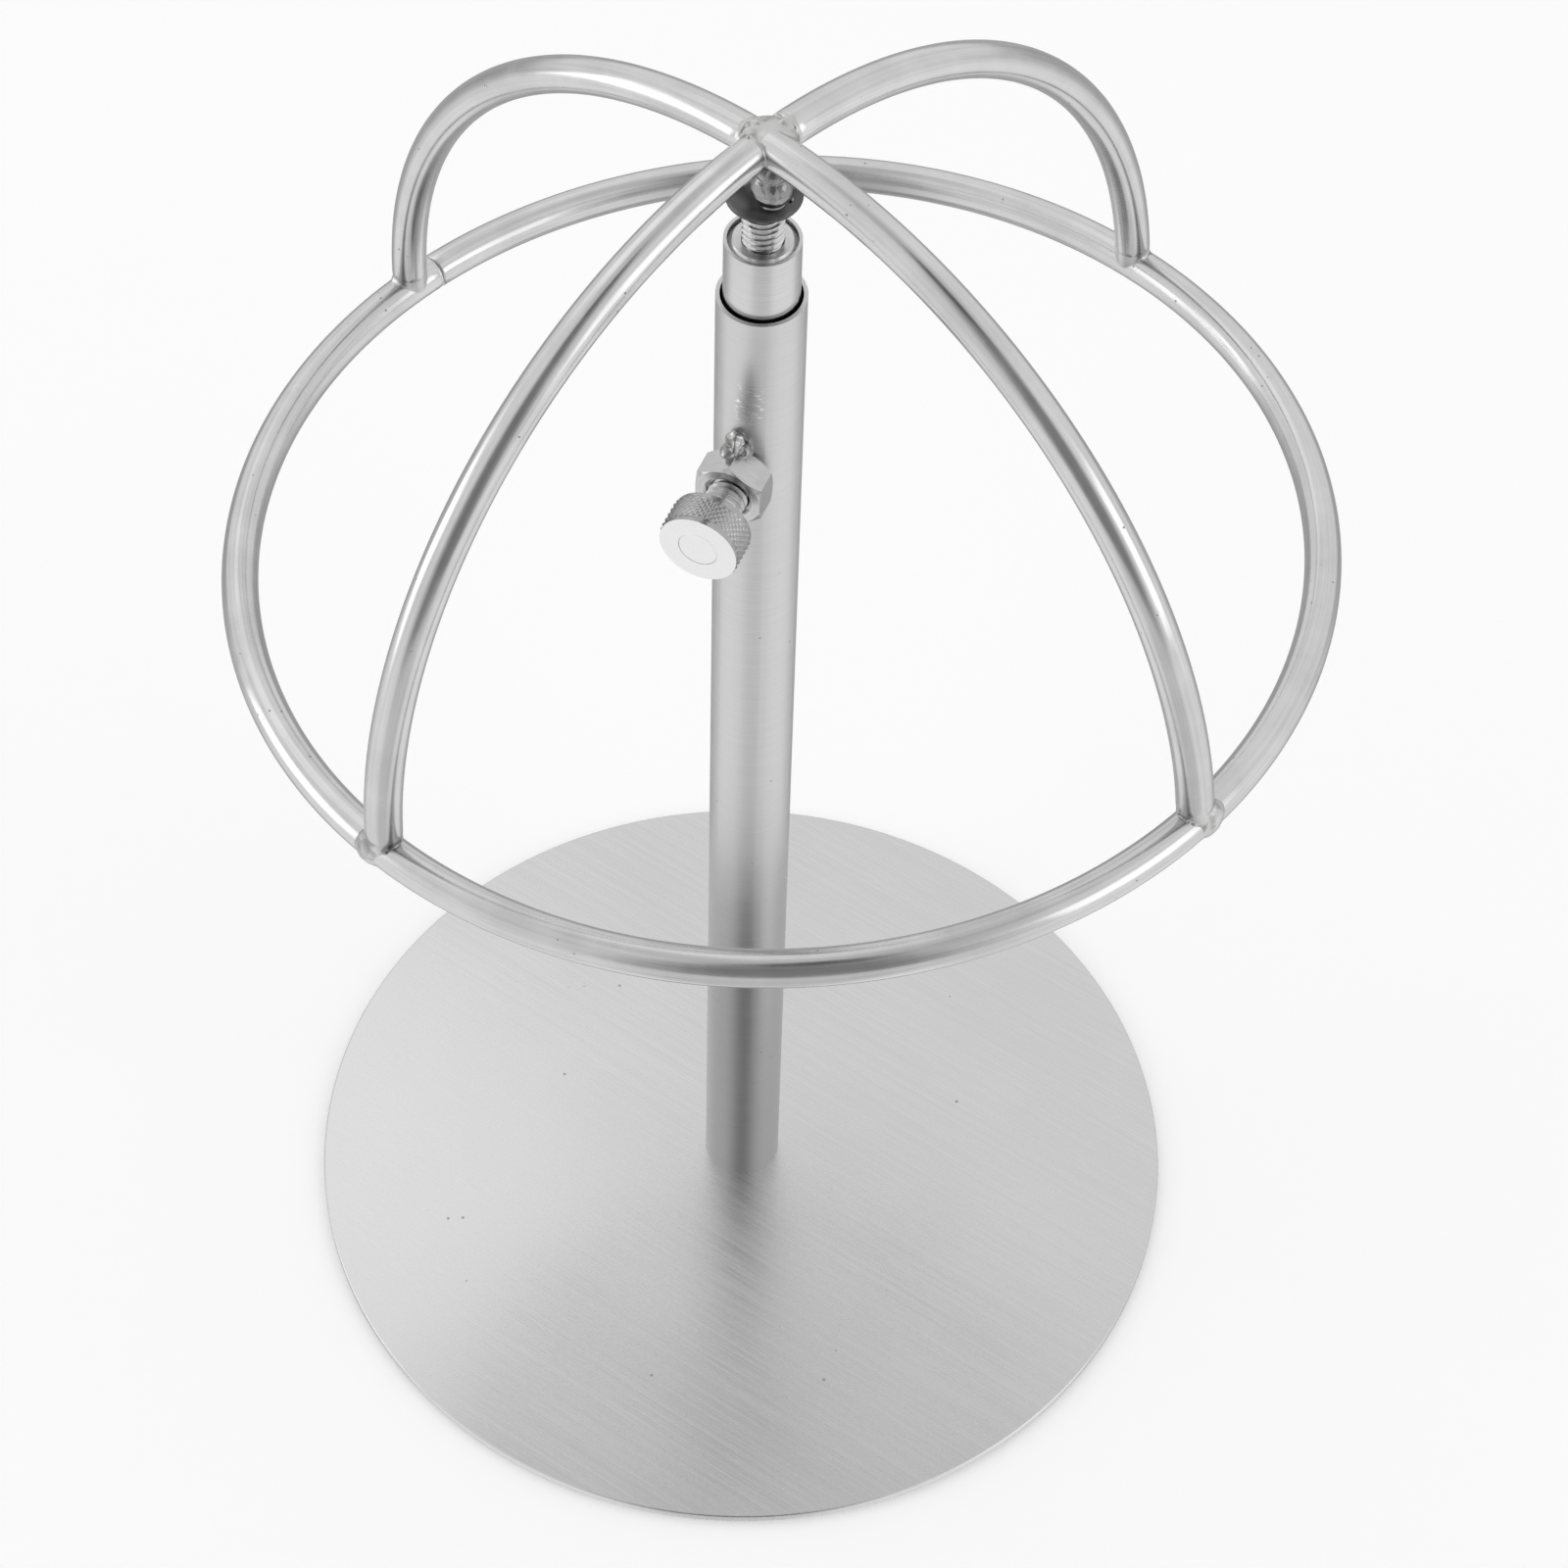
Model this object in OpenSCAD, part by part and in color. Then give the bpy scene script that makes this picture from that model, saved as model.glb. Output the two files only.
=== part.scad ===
// Hat display stand: a round plate, a telescoping post with a thumbscrew, and a dome of bent wire
// that screws onto the top of the inner tube. Millimetres, +Z up, origin at the centre of the
// plate's underside. The thumbscrew points along -Y.

/* [Base] */
// Diameter of the base plate
base_d = 150; // [120:5:240]
// Thickness of the base plate
base_t = 1.5; // [1:0.1:2]
// Thread diameter of the screw that holds the post on the plate
base_screw_d = 5; // [4:0.5:6]
// Length of that screw, its head included
base_screw_len = 14; // [10:1:18]

/* [Post] */
// Outside diameter of the post tube
post_d = 13; // [11:0.5:20]
// Wall of the post tube
post_wall = 0.6; // [0.5:0.1:1]
// Length of the post tube
post_len = 219; // [150:1:320]
// Length of the plug pressed into the foot of the post
foot_plug_len = 18; // [18:1:22]

/* [Inner tube] */
// Wall of the inner tube
inner_wall = 0.5; // [0.4:0.1:1]
// Room under the inner tube, down to the foot plug
inner_foot_gap = 11.8; // [11.8:0.2:60]
// How far the inner tube stands out of the post
inner_out = 10.8; // [5:0.1:60]
// Length of the threaded plug in the top of the inner tube
top_plug_len = 16; // [14:1:30]
// Bevel around the plug's upper edge
plug_bevel = 0.7; // [0.2:0.1:1]

/* [Thumbscrew] */
// Thread diameter of the thumbscrew
thumb_d = 6; // [4:0.5:6]
// Distance of the thumbscrew's axis below the top of the post
thumb_drop = 31; // [20:0.5:60]
// Width of the clamp nut across its flats
nut_af = 10; // [9:0.5:12]
// Thickness of the clamp nut
nut_t = 5; // [3:0.5:7]
// Thread left showing between the nut and the knob when the screw is tight
thumb_reach = 5.2; // [3:0.2:10]
// Diameter of the knurled knob
knob_d = 12.4; // [10:0.2:20]
// Thickness of the knurled knob
knob_t = 5.5; // [3:0.5:10]

/* [Hub] */
// Thread diameter of the hub screw
hub_d = 6; // [5:0.5:6]
// Thread length of the hub screw under its head
hub_len = 20; // [14:1:30]
// Thread showing between the inner tube and the head
hub_gap = 8; // [2:0.1:10]
// Diameter of the hub screw's low domed head
head_d = 10.8; // [9:0.2:12]
// Height of that head
head_h = 1.7; // [1.5:0.1:4]
// Width of the head's hexagon socket across its flats
socket_af = 4; // [3:0.5:4]
// Height of the weld between the head and the underside of the ribs
hub_weld_h = 5.2; // [2:0.2:6]

/* [Cage] */
// Diameter of the ring, measured on the middle of its wire
ring_d = 159.5; // [120:0.5:220]
// Diameter of the ring's and the ribs' wire
wire_d = 5.4; // [4:0.2:6]
// Height of the dome, from the middle of the ring's wire to the middle of the ribs' wire
dome_h = 77; // [60:0.2:110]
// Direction of the first rib around the post
rib_turn = 69; // [0:1:89]
// How far the cage leans on its screw, in degrees
cage_lean = 3.5; // [0:0.1:4]
// Direction that the cage leans in
lean_turn = 161; // [0:1:359]
// Open gap where the ring's ends meet
ring_gap = 0.4; // [0.2:0.1:1]
// Distance of that gap from the nearest rib, along the ring
ring_gap_offset = 4.6; // [4.6:0.2:20]

/* [Fits] */
// Gap on each side between the two tubes
tube_gap = 0.4; // [0.3:0.1:0.6]
// Gap on each side between a thread and its nut, or a plug and its tube
thread_gap = 0.05; // [0.02:0.01:0.1]
// Gap between the tip of the thumbscrew and the inner tube
tip_gap = 0.1; // [0.05:0.05:0.3]

/* [Hidden] */
$fn = 96;
far = 1;                                     // overrun of a cutting shape past the face it cuts

// Post and tubes
post_bore_d = post_d - 2 * post_wall;
post_top = base_t + post_len;
inner_d = post_bore_d - 2 * tube_gap;
inner_bore_d = inner_d - 2 * inner_wall;
inner_top = post_top + inner_out;
inner_foot = base_t + foot_plug_len + inner_foot_gap;
inner_len = inner_top - inner_foot;
plug_d = inner_bore_d - 2 * thread_gap;

// Countersunk base screw: a 90 degree head, so its depth is the step in radius
csk_d = 1.8 * base_screw_d;
csk_h = (csk_d - base_screw_d) / 2;
base_socket_af = 0.6 * base_screw_d;
base_socket_h = 0.32 * base_screw_d;

// Thumbscrew, measured outwards from the post's axis
thumb_z = post_top - thumb_drop;
nut_out = post_d / 2 + nut_t;
knob_in = nut_out + thumb_reach;
knob_out = knob_in + knob_t;
stud_tip = inner_d / 2 + tip_gap;
nut_ac = nut_af / cos(30);                   // across the corners
nut_bevel = 0.6;                             // height of the bevel on the nut's corners
nut_mouth = 0.6;                             // depth of the countersink in the nut's bore
post_hole_d = thumb_d + 0.6;
edge_bevel = 0.4;                            // bevel on the knob's rims and the screws' tips
nut_weld_d = 5;                              // width of the weld on the nut

// Hub
head_z = inner_top + hub_gap;
head_top_d = 0.6 * head_d;
head_dome_z = (pow(head_d / 2, 2) - pow(head_top_d / 2, 2) - head_h * head_h) / (2 * head_h);
head_dome_r = sqrt(pow(head_d / 2, 2) + head_dome_z * head_dome_z);
socket_h = 0.5 * head_h;
apex_z = head_z + head_h + hub_weld_h + wire_d / 2;    // middle of the ribs' wire over the post
hub_weld_d = 6.8;                            // width of the weld under the ribs

// Cage, drawn with the apex at the origin and the ring below it
ring_r = ring_d / 2;
rib_bend_r = (ring_r * ring_r + dome_h * dome_h) / (2 * dome_h);
root_gap = 0.2;                              // gap between a rib's end and the ring, under the weld
rib_start = asin((rib_bend_r - dome_h + wire_d / 2 + root_gap) / rib_bend_r);
rib_overrun = 5;                             // degrees past the apex, cut off by the mitres
ring_gap_turn = 90 - 360 * ring_gap_offset / (PI * ring_d);    // from the first rib
ring_gap_sweep = 360 * ring_gap / (PI * ring_d);
rib_weld_d = 1.3 * wire_d;
rib_weld_z = 0.22 * wire_d;                  // middle of a weld above the middle of the ring's wire

// Holds its children along the thumbscrew's axis, with +Z turned to -Y
module along_thumb() {
    translate([0, 0, thumb_z]) rotate([90, 0, 0]) children();
}

// Puts the cage on the hub screw and leans it about the apex
module on_hub() {
    translate([0, 0, apex_z])
        rotate([0, 0, lean_turn]) rotate([0, cage_lean, 0]) rotate([0, 0, -lean_turn])
            children();
}

module hexagon(across_flats, height) {
    cylinder(d = across_flats / cos(30), h = height, $fn = 6);
}

module tube(outer_d, bore_d, height) {
    difference() {
        cylinder(d = outer_d, h = height);
        translate([0, 0, -far]) cylinder(d = bore_d, h = height + 2 * far);
    }
}

// The shape of the countersunk screw without its socket
module base_screw_body() {
    cylinder(d1 = csk_d, d2 = base_screw_d, h = csk_h);
    cylinder(d = base_screw_d, h = base_screw_len);
}

module clamp_nut_bore() {
    translate([0, 0, -far]) cylinder(d = thumb_d + 2 * thread_gap, h = nut_out + 2 * far);
    translate([0, 0, nut_out - nut_mouth])
        cylinder(d1 = thumb_d + 2 * thread_gap, d2 = thumb_d + 2 * thread_gap + 2 * nut_mouth,
                 h = nut_mouth);
}

// Hexagon with its corners bevelled by a turned outline
module clamp_nut_body() {
    intersection() {
        translate([0, 0, post_d / 2]) rotate([0, 0, 30]) hexagon(nut_af, nut_t);
        rotate_extrude() polygon([
            [0, post_d / 2],
            [nut_af / 2, post_d / 2],
            [nut_ac / 2, post_d / 2 + nut_bevel],
            [nut_ac / 2, nut_out - nut_bevel],
            [nut_af / 2, nut_out],
            [0, nut_out]
        ]);
    }
}

module domed_head() {
    intersection() {
        translate([0, 0, head_z]) cylinder(d = head_d, h = head_h);
        translate([0, 0, head_z - head_dome_z]) sphere(r = head_dome_r);
    }
}

// One rib as a plain arc of wire, in the cage's own place
module rib_wire(turn, overrun = 0) {
    rotate([0, 0, turn]) translate([0, 0, -rib_bend_r]) rotate([90, 0, 0])
        rotate([0, 0, rib_start]) rotate_extrude(angle = 90 - rib_start + overrun)
            translate([rib_bend_r, 0]) circle(d = wire_d);
}

// The wedge that a rib keeps to, so that the four mitred ends meet face to face
module rib_wedge(turn) {
    rotate([0, 0, turn]) translate([0, 0, -dome_h - wire_d]) linear_extrude(dome_h + 2 * wire_d)
        polygon([[0, 0], [ring_d, -ring_d], [ring_d, ring_d]]);
}

module ring_wire() {
    rotate([0, 0, rib_turn + ring_gap_turn + ring_gap_sweep / 2]) translate([0, 0, -dome_h])
        rotate_extrude(angle = 360 - ring_gap_sweep) translate([ring_r, 0]) circle(d = wire_d);
}

module rib(turn) {
    color("gainsboro") on_hub() intersection() {
        rib_wire(turn, rib_overrun);
        rib_wedge(turn);
    }
}

module rib_weld(turn) {
    color("silver") on_hub() difference() {
        rotate([0, 0, turn]) translate([ring_r, 0, rib_weld_z - dome_h]) sphere(d = rib_weld_d);
        ring_wire();
        rib_wire(turn);
    }
}

module base_plate() {
    color("lightgray") difference() {
        cylinder(d = base_d, h = base_t);
        translate([0, 0, -far]) cylinder(d = base_screw_d, h = base_t + 2 * far);
        cylinder(d1 = csk_d, d2 = base_screw_d, h = csk_h);
    }
}

module base_screw() {
    color("dimgray") difference() {
        base_screw_body();
        translate([0, 0, -far]) hexagon(base_socket_af, base_socket_h + far);
    }
}

module foot_plug() {
    color("darkgray") difference() {
        translate([0, 0, base_t]) cylinder(d = post_bore_d, h = foot_plug_len);
        base_screw_body();
        translate([0, 0, base_t]) cylinder(d = base_screw_d, h = base_screw_len);
    }
}

module post_tube() {
    color("lightgray") difference() {
        translate([0, 0, base_t]) tube(post_d, post_bore_d, post_len);
        along_thumb() cylinder(d = post_hole_d, h = post_d);
    }
}

module clamp_nut() {
    color("silver") along_thumb() difference() {
        clamp_nut_body();
        clamp_nut_bore();
    }
}

// A tack over the nut's upper corner, against the post
module nut_weld() {
    color("darkgray") difference() {
        translate([-0.06 * nut_weld_d, -post_d / 2 - 0.12 * nut_weld_d,
                   thumb_z + nut_ac / 2 + 0.14 * nut_weld_d])
            sphere(d = nut_weld_d);
        translate([0, 0, base_t]) cylinder(d = post_d, h = post_len);
        along_thumb() rotate([0, 0, 30]) hexagon(nut_af, nut_out);
    }
}

module thumb_stud() {
    color("gray") along_thumb() {
        translate([0, 0, stud_tip])
            cylinder(d1 = thumb_d - 2 * edge_bevel, d2 = thumb_d, h = edge_bevel);
        translate([0, 0, stud_tip + edge_bevel])
            cylinder(d = thumb_d, h = knob_out - stud_tip - edge_bevel);
    }
}

module thumb_knob() {
    color("whitesmoke") along_thumb() difference() {
        rotate_extrude() polygon([
            [0, knob_in],
            [knob_d / 2 - edge_bevel, knob_in],
            [knob_d / 2, knob_in + edge_bevel],
            [knob_d / 2, knob_out - edge_bevel],
            [knob_d / 2 - edge_bevel, knob_out],
            [0, knob_out]
        ]);
        translate([0, 0, knob_in - far])
            cylinder(d = thumb_d + 2 * thread_gap, h = knob_t + 2 * far);
    }
}

module inner_tube() {
    color("silver") translate([0, 0, inner_foot]) tube(inner_d, inner_bore_d, inner_len);
}

module tube_plug() {
    color("gray") difference() {
        translate([0, 0, inner_top - top_plug_len]) rotate_extrude() polygon([
            [0, 0],
            [plug_d / 2, 0],
            [plug_d / 2, top_plug_len - plug_bevel],
            [plug_d / 2 - plug_bevel, top_plug_len],
            [0, top_plug_len]
        ]);
        translate([0, 0, inner_top - top_plug_len - far])
            cylinder(d = hub_d + 2 * thread_gap, h = top_plug_len + 2 * far);
    }
}

module hub_screw() {
    color("dimgray") difference() {
        union() {
            domed_head();
            translate([0, 0, head_z - hub_len]) cylinder(d = hub_d, h = hub_len);
        }
        translate([0, 0, head_z + head_h - socket_h]) hexagon(socket_af, socket_h + far);
    }
}

// Weld metal from the bottom of the socket up to the ribs
module hub_weld() {
    color("silver") difference() {
        union() {
            translate([0, 0, head_z + head_h - socket_h]) hexagon(socket_af, socket_h + hub_weld_h);
            translate([0, 0, head_z + head_h + hub_weld_h / 2]) sphere(d = hub_weld_d);
        }
        domed_head();
        on_hub() for (k = [0:3]) rib_wire(rib_turn + 90 * k);
    }
}

module cage_ring() {
    color("gainsboro") on_hub() ring_wire();
}

module rib_back_right() rib(rib_turn);
module rib_back_left() rib(rib_turn + 90);
module rib_front_left() rib(rib_turn + 180);
module rib_front_right() rib(rib_turn + 270);
module weld_back_right() rib_weld(rib_turn);
module weld_back_left() rib_weld(rib_turn + 90);
module weld_front_left() rib_weld(rib_turn + 180);
module weld_front_right() rib_weld(rib_turn + 270);

base_plate();
base_screw();
foot_plug();
post_tube();
clamp_nut();
nut_weld();
thumb_stud();
thumb_knob();
inner_tube();
tube_plug();
hub_screw();
hub_weld();
cage_ring();
rib_back_right();
rib_back_left();
rib_front_left();
rib_front_right();
weld_back_right();
weld_back_left();
weld_front_left();
weld_front_right();
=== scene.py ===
import math

import bmesh
import bpy
from mathutils import Matrix, Vector, noise


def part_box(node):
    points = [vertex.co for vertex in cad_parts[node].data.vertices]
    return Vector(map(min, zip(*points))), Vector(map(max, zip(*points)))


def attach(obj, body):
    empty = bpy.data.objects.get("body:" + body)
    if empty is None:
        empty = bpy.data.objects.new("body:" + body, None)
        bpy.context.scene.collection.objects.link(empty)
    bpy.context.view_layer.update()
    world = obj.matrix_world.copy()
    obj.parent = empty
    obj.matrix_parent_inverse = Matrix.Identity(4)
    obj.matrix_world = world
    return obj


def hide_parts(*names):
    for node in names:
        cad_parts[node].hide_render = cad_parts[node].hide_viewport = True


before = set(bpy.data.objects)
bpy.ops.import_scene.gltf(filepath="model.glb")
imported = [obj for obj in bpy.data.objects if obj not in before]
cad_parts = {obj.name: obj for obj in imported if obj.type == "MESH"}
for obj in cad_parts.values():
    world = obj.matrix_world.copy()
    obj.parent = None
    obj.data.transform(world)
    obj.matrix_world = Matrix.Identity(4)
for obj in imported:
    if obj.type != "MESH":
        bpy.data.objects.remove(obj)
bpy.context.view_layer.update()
mm = 0.001
weldReach = 1e-7  # points this near are one point
wobbleScale = 1.7  # dents for each radius of a lump
scene = bpy.context.scene
scene.view_settings.view_transform = "Standard"
print("frame loaded:", len(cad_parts), "nodes")


class Sock:  # one output socket, so that shader maths reads as plain sums
    def __init__(self, tree, socket):
        self.tree = tree
        self.socket = socket

    def maths(self, operation, *values):
        return addNode(self.tree, "ShaderNodeMath", {"operation": operation}, dict(enumerate(values)))

    def __add__(self, other):
        return self.maths("ADD", self, other)

    def __sub__(self, other):
        return self.maths("SUBTRACT", self, other)

    def __rsub__(self, other):
        return self.maths("SUBTRACT", other, self)

    def __mul__(self, other):
        return self.maths("MULTIPLY", self, other)

    def __truediv__(self, other):
        return self.maths("DIVIDE", self, other)

    def __pow__(self, other):
        return self.maths("POWER", self, other)

    __radd__ = __add__
    __rmul__ = __mul__


# settings are set before the sockets, because some of them change which sockets there are
def addNode(tree, kind, settings=None, sockets=None, out=0):
    node = tree.nodes.new(kind)
    for key, value in (settings or {}).items():
        setattr(node, key, value)
    for key, value in (sockets or {}).items():
        if isinstance(value, Sock):
            tree.links.new(value.socket, node.inputs[key])
        else:
            node.inputs[key].default_value = value
    return Sock(tree, node.outputs[out])


def smoothStep(tree, value, low, high, toLow=0, toHigh=1):
    return addNode(tree, "ShaderNodeMapRange", {"interpolation_type": "SMOOTHSTEP"}, {
        "Value": value, "From Min": low, "From Max": high, "To Min": toLow, "To Max": toHigh})


def splitVector(tree, vector):
    return [addNode(tree, "ShaderNodeSeparateXYZ", None, {"Vector": vector}, out=axis) for axis in "XYZ"]


class Finish:  # a material with one Principled shader
    def __init__(self, name, fixed):
        self.material = bpy.data.materials.new(name)
        self.material.use_nodes = True
        self.tree = self.material.node_tree
        self.shader = self.tree.nodes["Principled BSDF"]
        self.shader.inputs["Metallic"].default_value = 1
        for key, value in fixed.items():
            self.shader.inputs[key].default_value = value

    def node(self, kind, settings=None, sockets=None, out=0):
        return addNode(self.tree, kind, settings, sockets, out)

    def coords(self, attribute=None):
        if attribute:
            return self.node("ShaderNodeAttribute", {"attribute_name": attribute}, out="Vector")
        return self.node("ShaderNodeTexCoord", out="Object")

    # noise stretched by a scale for each direction, after a turn in degrees
    def grain(self, place, scale, turn=(0, 0, 0), detail=2, rough=0.5):
        turned = self.node("ShaderNodeMapping", None, {
            "Vector": place, "Rotation": tuple(math.radians(t) for t in turn)})
        spread = self.node("ShaderNodeMapping", None, {"Vector": turned, "Scale": scale})
        return self.node("ShaderNodeTexNoise", None, {
            "Vector": spread, "Scale": 1, "Detail": detail, "Roughness": rough})

    def smooth(self, value, low, high, toLow=0, toHigh=1):
        return smoothStep(self.tree, value, low, high, toLow, toHigh)

    def fade(self, value, low, high, edge):  # 1 between low and high, with soft edges
        inside = self.smooth(value, low, low + edge)
        return inside * self.smooth(value, high - edge, high, 1, 0)

    def tone(self, value):
        return self.node("ShaderNodeCombineColor", None, {0: value, 1: value, 2: value})

    # scattered dots, in the places that a broader noise picks out
    def dots(self, place, look):
        cells = self.node("ShaderNodeTexVoronoi", None, {
            "Vector": place, "Scale": look["dotScale"], "Randomness": 1})
        pick = self.grain(place, (look["pickScale"],) * 3, detail=look["pickDetail"])
        return self.smooth(cells, *look["dotEdge"], 1, 0) * self.smooth(pick, *look["pickEdge"])

    def blend(self, factor, colourA, colourB):
        return self.node("ShaderNodeMix", {"data_type": "RGBA"}, {
            "Factor": factor, 6: colourA, 7: colourB}, out=2)

    def bump(self, height, distance, under=None):
        sockets = {"Height": height, "Distance": distance, "Strength": 1}
        if under:
            sockets["Normal"] = under
        return self.node("ShaderNodeBump", None, sockets)

    def feed(self, **links):
        for key, value in links.items():
            self.tree.links.new(value.socket, self.shader.inputs[key])
        return self.material


def grey(value, warmth=0):
    return (value * (1 + warmth), value, value * (1 - warmth), 1)


plateLook = {
    "base": 0.60, "streak": 0.07, "rough": 0.27, "brushTurn": 102,
    "streakScale": (2200, 26, 400), "fineScale": (7000, 120, 400), "fineShare": 0.4,
    "cloudScale": (30, 30, 30), "cloudDepth": 0.06, "roughDepth": 0.3, "bumpHeight": 0.000006,
    "dotScale": 260, "dotEdge": (0.05, 0.09), "dotGrey": 0.3, "dotDepth": 0.6,
    "pickScale": 70, "pickDetail": 0, "pickEdge": (0.66, 0.7)}


def makePlateFinish():
    look = plateLook
    f = Finish("brushedPlate", {})
    place = f.coords()
    turn = (0, 0, look["brushTurn"])
    streaks = f.grain(place, look["streakScale"], turn, 3, 0.6)
    fine = f.grain(place, look["fineScale"], turn, 2, 0.7)
    cloud = f.grain(place, look["cloudScale"]) - 0.5
    lines = streaks * (1 - look["fineShare"]) + fine * look["fineShare"]
    speck = f.dots(place, look)
    tone = (lines - 0.5) * look["streak"] * 2 + look["base"] + cloud * look["cloudDepth"]
    rough = (lines - 0.5) * look["roughDepth"] + look["rough"] + cloud * look["cloudDepth"]
    return f.feed(**{"Base Color": f.blend(speck, f.tone(tone), grey(look["dotGrey"])),
                     "Roughness": rough,
                     "Normal": f.bump(lines - speck * look["dotDepth"], look["bumpHeight"])})


tubeLook = {
    "streak": 0.10, "lineScale": (60, 60, 5200), "fineScale": (160, 160, 14000), "fineShare": 0.4,
    "bumpHeight": 0.000004, "brushed": 0.75, "roughDepth": 0.22,
    "wearScale": (90, 90, 160), "wearTone": 0.05, "wearRough": 0.08,
    "dotScale": 420, "dotEdge": (0.06, 0.12), "dotTone": 0.25, "dotDepth": 2,
    "pickScale": 150, "pickDetail": 0, "pickEdge": (0.64, 0.7),
    "scratchHeight": (0.199, 0.209, 0.004), "scratchAcross": (-0.0015, 0.0035, 0.001),
    "scratchFront": (-0.004, -0.003), "scratchScale": (900, 900, 2600), "scratchEdge": (0.62, 0.66),
    "scratchGlintTone": 0.25, "scratchRough": 0.12}


def makeTubeFinish(name, base, rough, scratched):
    look = tubeLook
    f = Finish(name, {"Anisotropic": look["brushed"]})
    place = f.coords()
    lines = f.grain(place, look["lineScale"], detail=3, rough=0.6) * (1 - look["fineShare"])
    lines = lines + f.grain(place, look["fineScale"], detail=1) * look["fineShare"]
    wear = f.grain(place, look["wearScale"], detail=3, rough=0.6) - 0.5
    pit = f.dots(place, look)
    # short scratches in the band above the nut, where the weld was cleaned up; real marks in bump and roughness,
    # and a painted glint in their brighter colour
    across, depthways, height = splitVector(f.tree, place)
    band = f.fade(height, *look["scratchHeight"]) * f.fade(across, *look["scratchAcross"])
    band = band * f.smooth(depthways, *look["scratchFront"], 1, 0) * scratched
    nicksAndGlints = f.smooth(f.grain(place, look["scratchScale"], detail=0), *look["scratchEdge"]) * band
    tone = (lines - 0.5) * look["streak"] * 2 + base + wear * look["wearTone"]
    # the scratches are painted lighter than the metal: a painted glint
    tone = tone - pit * look["dotTone"] + nicksAndGlints * look["scratchGlintTone"]
    roughness = (lines - 0.5) * look["roughDepth"] + rough + wear * look["wearRough"]
    return f.feed(**{"Base Color": f.tone(tone),
                     "Roughness": roughness - nicksAndGlints * look["scratchRough"],
                     "Normal": f.bump(lines - pit * look["dotDepth"] - nicksAndGlints, look["bumpHeight"])})


wireLook = {
    "base": 0.57, "streak": 0.13, "rough": 0.2, "lineScale": (1700, 1700, 22),
    "bumpHeight": 0.000011, "roughDepth": 0.24, "cloudScale": (160, 160, 160), "cloudTone": 0.14,
    "cloudRough": 0.12, "dullScale": (45, 45, 45), "dullEdge": (0.45, 0.75), "dullTone": 0.05,
    "dullRough": 0.12, "dotScale": 700, "dotEdge": (0.06, 0.16), "dotTone": 0.3, "dotHeight": 0.00007,
    "pickScale": 190, "pickDetail": 1, "pickEdge": (0.62, 0.68)}


# the "wirePlace" attribute holds where a point lies across the wire and how far along it
def makeWireFinish():
    look = wireLook
    f = Finish("drawnWire", {})
    along = f.coords("wirePlace")
    place = f.coords()
    lines = f.grain(along, look["lineScale"], detail=3, rough=0.6)
    cloud = f.grain(place, look["cloudScale"], detail=3, rough=0.6) - 0.5
    dull = f.smooth(f.grain(place, look["dullScale"]), *look["dullEdge"])
    pit = f.dots(place, look)
    tone = (lines - 0.5) * look["streak"] * 2 + look["base"] + cloud * look["cloudTone"]
    tone = tone - pit * look["dotTone"] - dull * look["dullTone"]
    rough = (lines - 0.5) * look["roughDepth"] + look["rough"] + dull * look["dullRough"]
    grooves = f.bump(lines, look["bumpHeight"])
    return f.feed(**{"Base Color": f.tone(tone), "Roughness": rough + cloud * look["cloudRough"],
                     "Normal": f.bump(0 - pit, look["dotHeight"], grooves)})


weldLook = {
    "rippleScale": (520, 520, 520), "rippleRough": 0.3, "sootAndShadeScale": (300, 300, 300),
    "sootEdge": (0.5, 0.68), "sootTone": 0.3, "sootWarmth": 0.01, "sootRough": 0.18,
    "tintScale": (210, 240, 200), "tintEdge": (0.42, 0.7), "tintTone": 0.84, "tintWarmth": 0.008}


def makeWeldFinish(name, base, rough, dark, depth):
    look = weldLook
    f = Finish(name, {})
    place = f.coords()
    ripple = f.grain(place, look["rippleScale"], detail=3, rough=0.55)
    soot = f.smooth(f.grain(place, look["sootAndShadeScale"]), *look["sootEdge"])
    tint = f.smooth(f.grain(place, look["tintScale"], detail=1), *look["tintEdge"])
    metal = f.blend(tint, grey(base), grey(base * look["tintTone"], look["tintWarmth"]))
    colour = f.blend(soot * dark, metal, grey(base * look["sootTone"], look["sootWarmth"]))
    roughness = (ripple - 0.5) * look["rippleRough"] + rough + soot * look["sootRough"]
    return f.feed(**{"Base Color": colour, "Roughness": roughness, "Normal": f.bump(ripple, depth)})


turnedLook = {"cloudScale": (420, 420, 420), "ringRough": 0.25, "cloudRough": 0.2}


# fine rings round an axis through centre, which the turn stands upright
def makeTurnedFinish(name, base, rough, ringScale, centre, turn, depth=0.00002, contrast=0.3):
    f = Finish(name, {})
    place = f.node("ShaderNodeMapping", None, {
        "Vector": f.coords(), "Location": tuple(-c for c in centre)})
    place = f.node("ShaderNodeMapping", None, {
        "Vector": place, "Rotation": tuple(math.radians(t) for t in turn)})
    x, y, z = splitVector(f.tree, place)
    radius = (x * x + y * y) ** 0.5
    rings = f.node("ShaderNodeTexNoise", {"noise_dimensions": "2D"}, {
        "Vector": f.node("ShaderNodeCombineXYZ", None, {0: radius, 1: z}),
        "Scale": ringScale, "Detail": 3, "Roughness": 0.6}) - 0.5
    cloud = f.grain(place, turnedLook["cloudScale"]) - 0.5
    tone = rings * contrast * base + base + cloud * contrast * base
    roughness = rings * turnedLook["ringRough"] + rough + cloud * turnedLook["cloudRough"]
    return f.feed(**{"Base Color": f.tone(tone), "Roughness": roughness, "Normal": f.bump(rings, depth)})


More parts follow.
